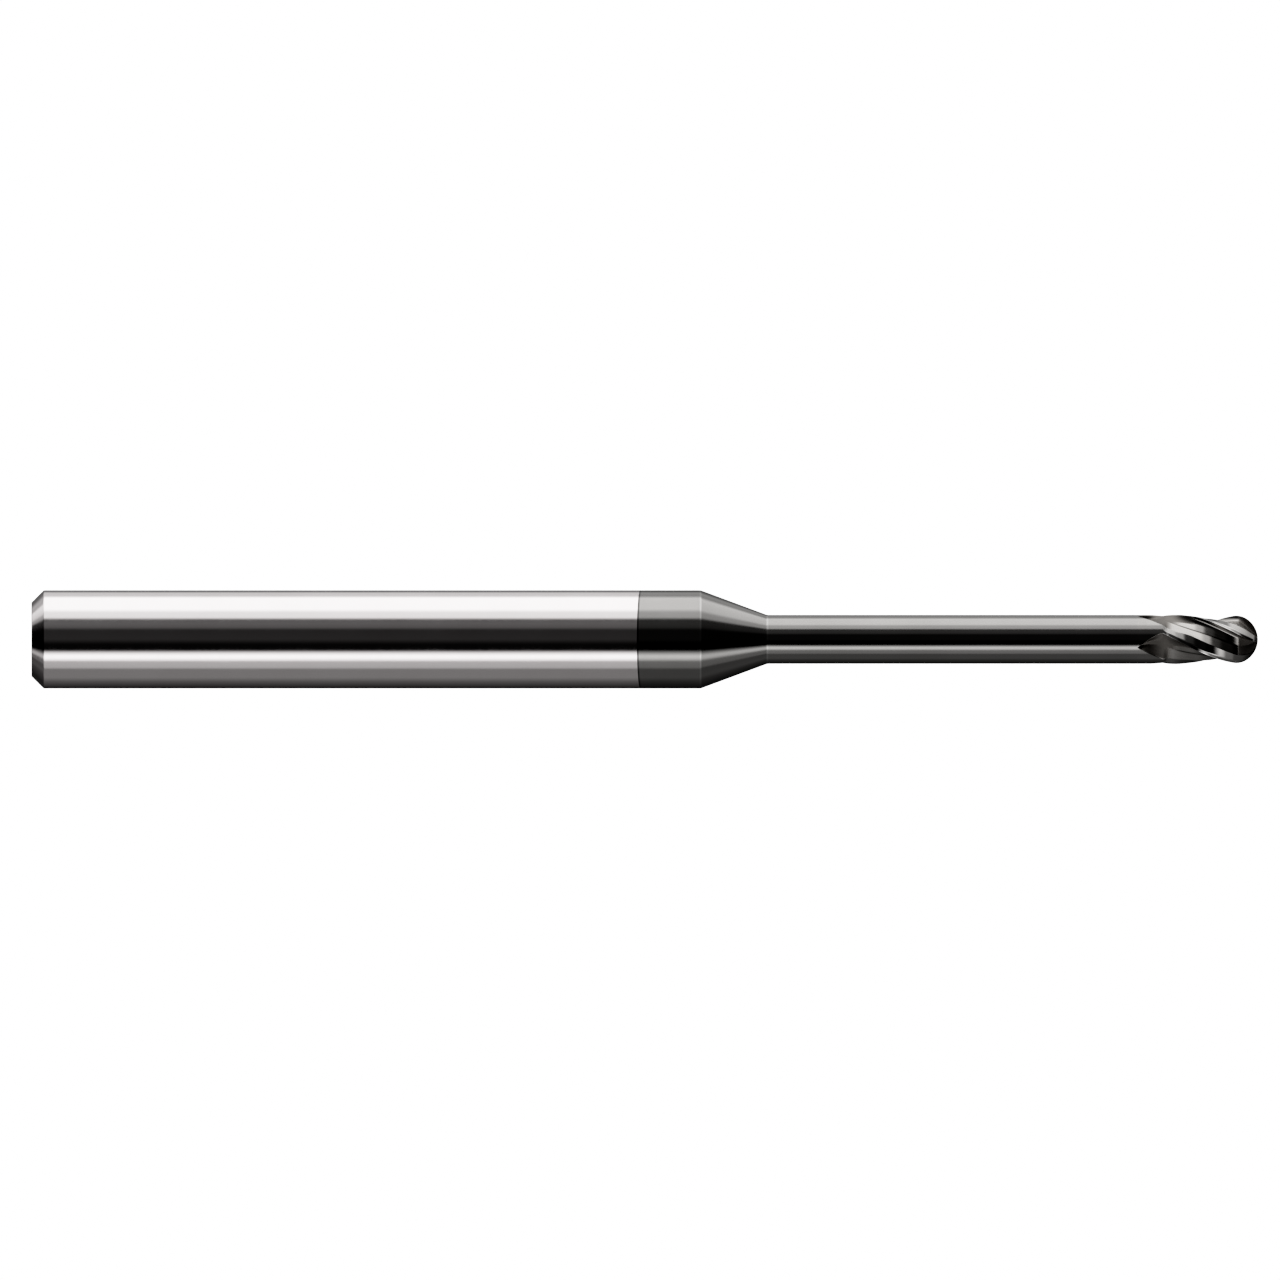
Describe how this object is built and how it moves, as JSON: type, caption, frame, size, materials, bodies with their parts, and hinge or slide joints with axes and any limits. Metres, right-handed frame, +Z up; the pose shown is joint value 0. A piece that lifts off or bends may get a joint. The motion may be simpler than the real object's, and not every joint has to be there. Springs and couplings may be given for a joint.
{
  "type": "ball nose end mill",
  "caption": "Long-reach ball-nose end mill: ground cylindrical shank, dark coated band, taper and slim neck, and a ball-ended cutting head with right-hand helical flutes.",
  "frame": {"origin": "centre of the shank's flat back face", "axes": "+X along the tool axis towards the ball nose; +Z up as the tool lies on its side; the tool is turned about X as the picture shows its flutes"},
  "size_m": [0.075, 0.006, 0.006],
  "materials": {
    "ground_carbide": "ground and polished bare carbide",
    "coated_carbide": "dark vapour-deposited coating over ground carbide",
    "coated_flutes": "dark vapour-deposited coating over wheel-ground flutes and lands"
  },
  "bodies": {
    "root": {"shank": "ground_carbide", "coated_band": "coated_carbide", "neck_taper": "coated_carbide", "neck": "coated_carbide", "flute_runout": "coated_flutes", "head_core": "coated_flutes", "tooth_1": "coated_flutes", "tooth_2": "coated_flutes", "tooth_3": "coated_flutes", "tooth_4": "coated_flutes"}
  },
  "joints": []
}
